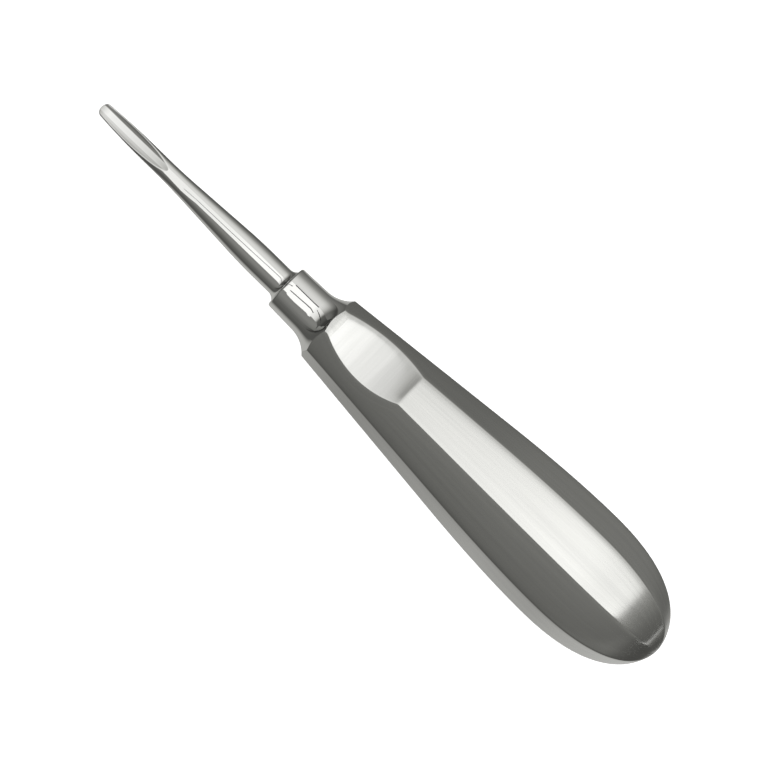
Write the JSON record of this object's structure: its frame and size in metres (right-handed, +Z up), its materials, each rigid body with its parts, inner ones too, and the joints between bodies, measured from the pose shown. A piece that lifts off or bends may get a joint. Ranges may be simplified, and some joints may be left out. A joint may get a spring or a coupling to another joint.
{
  "type": "dental elevator",
  "caption": "Straight dental elevator: a slim shank with a hollow-ground rounded blade, brazed into a large pear-shaped octagonal steel handle with a thumb scoop.",
  "frame": {"origin": "middle of the part's bounding box, on the surface that it lies on", "axes": "+X from the blade's tip to the butt of the handle, +Z up through the facet with the thumb scoop, +Y across"},
  "size_m": [0.1394, 0.0226, 0.0238],
  "materials": {
    "handle_steel": "satin stainless steel, brushed along the handle; the turned neck in front is mirror polished",
    "polished_steel": "mirror-polished hardened stainless steel"
  },
  "bodies": {
    "root": {"handle": "handle_steel", "working_end": "polished_steel"}
  },
  "joints": []
}
